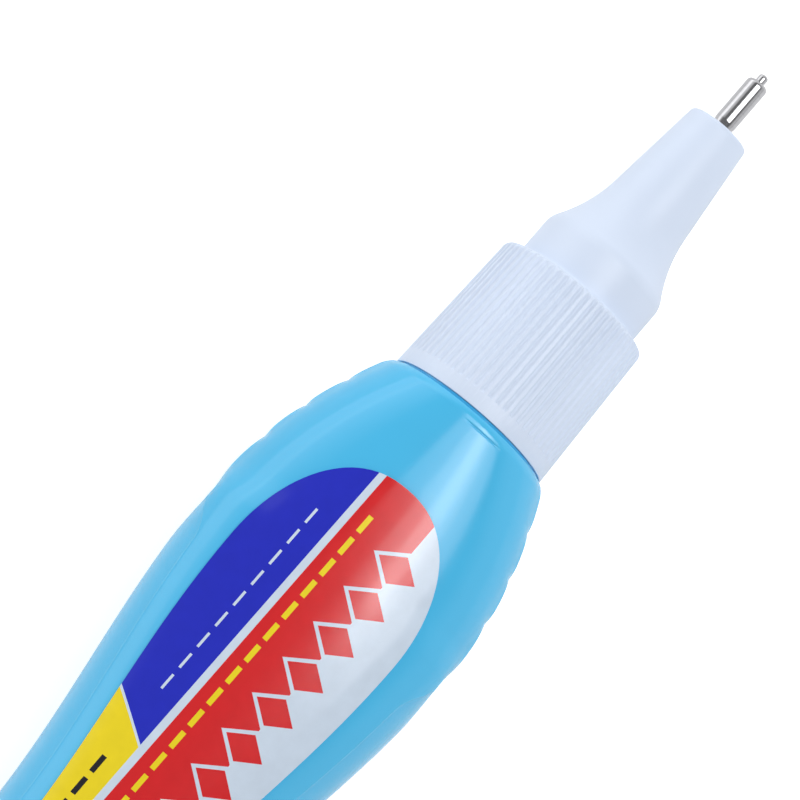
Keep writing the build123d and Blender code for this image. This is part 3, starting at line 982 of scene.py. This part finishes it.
class PEN_OT_valve(bpy.types.Operator):
    """Build the steel barrel, the needle and the spring of the valve"""

    bl_idname = "pen.valve"
    bl_label = "Valve"

    def execute(self, context):
        nozzle = context.scene.pen_nozzle
        valve = context.scene.pen_valve
        steel = polished_steel("polished_steel", valve.steel, valve.roughness, ring_scale=5200)
        bm = bmesh.new()
        turn_outline(bm, barrel_outline(nozzle, valve), BARREL_STEPS)
        make_piece("steel_barrel", bm, [steel], "nozzle_body", "tip_barrel")
        bm = bmesh.new()
        turn_outline(bm, needle_outline(nozzle, valve), NEEDLE_STEPS, closed=False)
        make_piece("steel_needle", bm, [steel], "needle_body", "valve_needle")
        self.wind_spring(valve)
        return {"FINISHED"}

    def wind_spring(self, valve):
        """Spring wound at rest between its seat and the needle's collar, which squeezes the real spring
        when the needle is pressed.
        """
        shade = [valve.wire_shade * channel for channel in valve.steel]
        wire = polished_steel("spring_steel", shade, roughness=0.3, ring_scale=9000)
        room = valve.collar_back - valve.spring_back
        clear = valve.wire + 0.05 * MM
        start = valve.spring_back + clear
        turn = steps(0, 2 * pi, WIRE_POINTS)
        ring = [(start + valve.wire * cos(a), 0, valve.coil + valve.wire * sin(a)) for a in turn]
        bm = bmesh.new()
        wind(bm, ring, valve.turns, (room - 2 * clear) / valve.turns, COIL_STEPS)
        bmesh.ops.recalc_face_normals(bm, faces=bm.faces[:])
        spring = make_piece(
            "coil_spring", bm, [wire], "nozzle_body", "valve_spring", sharp=60
        )
        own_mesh(spring)


class PEN_OT_inner_finishes(bpy.types.Operator):
    """Give the seal, the spring retainer and the mixing ball their finishes"""

    bl_idname = "pen.inner_finishes"
    bl_label = "Inner finishes"

    def execute(self, context):
        valve = context.scene.pen_valve
        finishes = {
            "neck_seal": foam("seal_foam", valve.natural),
            "spring_retainer": moulded_plastic("retainer_plastic", valve.natural, roughness=0.5),
            "mixing_ball": polished_steel("ball_steel", valve.steel, roughness=0.16, ring_scale=900),
        }
        for name, material in finishes.items():
            node = frame["nodes"][name]
            node.data.materials.clear()
            node.data.materials.append(material)
        return {"FINISHED"}


def softbox(name, middle, length, width, power, twist=0):
    """Rectangular area light that faces the pen's shoulder, with its length along the pen."""
    light = bpy.data.lights.new(name, "AREA")
    light.shape = "RECTANGLE"
    light.size = length
    light.size_y = width
    light.energy = power
    lamp = bpy.data.objects.new(name, light)
    away = (Vector(middle) - Vector(TURN_POINT)).normalized()
    level = Vector((cos(twist), sin(twist), 0))
    along = (level - away * away.dot(level)).normalized()
    place = Matrix((along, away.cross(along), away)).transposed().to_4x4()
    place.translation = middle
    lamp.matrix_world = place
    bpy.context.scene.collection.objects.link(lamp)


class PEN_OT_stage(bpy.types.Operator):
    """Lay the floor, hang the lights and set the camera"""

    bl_idname = "pen.stage"
    bl_label = "Stage"

    def execute(self, context):
        scene = context.scene
        stage = scene.pen_stage
        self.lay_floor(stage)
        self.paint_surround(stage)
        self.hang_lights(stage)
        self.set_camera(stage)
        scene.view_settings.view_transform = "Standard"
        return {"FINISHED"}

    def lay_floor(self, stage):
        """White paper just below the pen, which keeps the pen's shadow."""
        bm = bmesh.new()
        below = Matrix.Translation((0, 0, -FLOOR_GAP))
        bmesh.ops.create_grid(bm, x_segments=4, y_segments=4, size=4, matrix=below)
        mesh = bpy.data.meshes.new("floor")
        bm.to_mesh(mesh)
        bm.free()
        floor = bpy.data.objects.new("floor", mesh)
        bpy.context.scene.collection.objects.link(floor)
        finish = Finish("floor_paper")
        finish.shades(finish.noise(scale=400, detail=3), stage.floor, spread=0.01)
        finish.set(Roughness=0.9, Specular_IOR_Level=0.1, Emission_Color=(1, 1, 1, 1))
        path = finish.nodes.new("ShaderNodeLightPath")
        seen = finish.calculate("MULTIPLY", path.outputs["Is Camera Ray"], stage.floor_lift)
        mirrored = finish.calculate("MULTIPLY", path.outputs["Is Glossy Ray"], stage.mirror_lift)
        lift = finish.calculate("ADD", seen, mirrored)
        finish.links.new(lift, finish.shader.inputs["Emission Strength"])
        mesh.materials.append(finish.material)

    def paint_surround(self, stage):
        """White surround that darkens overhead and brightens to +Y, seen by the camera as plain white."""
        world = bpy.data.worlds.new("surround")
        world.use_nodes = True
        bpy.context.scene.world = world
        nodes = world.node_tree.nodes
        links = world.node_tree.links
        back = nodes["Background"]
        back.inputs["Color"].default_value = (1, 1, 1, 1)
        toward = nodes.new("ShaderNodeSeparateXYZ")
        links.new(nodes.new("ShaderNodeTexCoord").outputs["Generated"], toward.inputs["Vector"])
        ranges = {"Z": (0.36, 0.74, stage.horizon, stage.zenith), "Y": (-0.8, 0.8, 0.85, 1.25)}
        fades = []
        for axis, ends in ranges.items():
            fade = nodes.new("ShaderNodeMapRange")
            fade.interpolation_type = "SMOOTHSTEP"
            for name, value in zip(("From Min", "From Max", "To Min", "To Max"), ends):
                fade.inputs[name].default_value = value
            links.new(toward.outputs[axis], fade.inputs["Value"])
            fades.append(fade.outputs["Result"])
        level = nodes.new("ShaderNodeMath")
        level.operation = "MULTIPLY"
        shown = nodes.new("ShaderNodeMath")
        shown.operation = "MAXIMUM"
        for source, goal in zip(fades, level.inputs):
            links.new(source, goal)
        links.new(level.outputs["Value"], shown.inputs[0])
        links.new(nodes.new("ShaderNodeLightPath").outputs["Is Camera Ray"], shown.inputs[1])
        links.new(shown.outputs["Value"], back.inputs["Strength"])

    def hang_lights(self, stage):
        """Softbox overhead with a hot middle, and two lights at the side."""
        for name, lean, width, part in KEY_PARTS:
            middle = (KEY_PLACE, -KEY_HEIGHT * tan(radians(lean)), AXIS + KEY_HEIGHT)
            softbox(f"key_{name}", middle, KEY_LENGTH, width, stage.key * part, KEY_TWIST)
        for name, middle, length, width, part in SIDE_PARTS:
            softbox(f"side_{name}", middle, length, width, stage.side * part)

    def set_camera(self, stage):
        """Camera above the front label, with the tip leaning away and to the upper right."""
        toward = Vector((-sin(stage.lean), 0, cos(stage.lean)))
        tip = Vector((cos(stage.lean), 0, sin(stage.lean)))
        left = Vector((0, 1, 0))
        right = tip * cos(stage.turn) - left * sin(stage.turn)
        up = tip * sin(stage.turn) + left * cos(stage.turn)
        target = Vector((SHOULDER, 0, AXIS)) - tip * stage.aim_back + left * stage.aim_left
        data = bpy.data.cameras.new("camera")
        data.sensor_width = SENSOR
        data.lens = SENSOR * stage.distance / stage.field
        data.clip_start = 0.01
        data.clip_end = 50
        camera = bpy.data.objects.new("camera", data)
        place = Matrix((right, up, toward)).transposed().to_4x4()
        place.translation = target + toward * stage.distance
        camera.matrix_world = place
        bpy.context.scene.collection.objects.link(camera)
        bpy.context.scene.camera = camera


class PEN_PT_pen(bpy.types.Panel):
    """Builders and settings of the pen"""

    bl_idname = "PEN_PT_pen"
    bl_label = "Correction Pen"
    bl_space_type = "VIEW_3D"
    bl_region_type = "UI"
    bl_category = "Pen"

    def draw(self, context):
        for operator in OPERATORS:
            self.layout.operator(operator.bl_idname)
        for name in SETTINGS:
            group = getattr(context.scene, name)
            box = self.layout.box()
            for field in group.__annotations__:
                box.prop(group, field)


OPERATORS = (PEN_OT_bottle, PEN_OT_labels, PEN_OT_nozzle, PEN_OT_valve, PEN_OT_inner_finishes, PEN_OT_stage)
SETTINGS = {
    "pen_bottle": BottleSettings,
    "pen_label": LabelSettings,
    "pen_nozzle": NozzleSettings,
    "pen_valve": ValveSettings,
    "pen_stage": StageSettings,
}


def register():
    for name, group in SETTINGS.items():
        bpy.utils.register_class(group)
        setattr(bpy.types.Scene, name, PointerProperty(type=group))
    for operator in OPERATORS:
        bpy.utils.register_class(operator)
    bpy.utils.register_class(PEN_PT_pen)


def unregister():
    bpy.utils.unregister_class(PEN_PT_pen)
    for operator in reversed(OPERATORS):
        bpy.utils.unregister_class(operator)
    for name, group in SETTINGS.items():
        delattr(bpy.types.Scene, name)
        bpy.utils.unregister_class(group)


def main():
    register()
    bpy.ops.pen.bottle()
    bpy.ops.pen.labels()
    bpy.ops.pen.nozzle()
    bpy.ops.pen.valve()
    bpy.ops.pen.inner_finishes()
    bpy.ops.pen.stage()


if __name__ == "__main__":
    main()
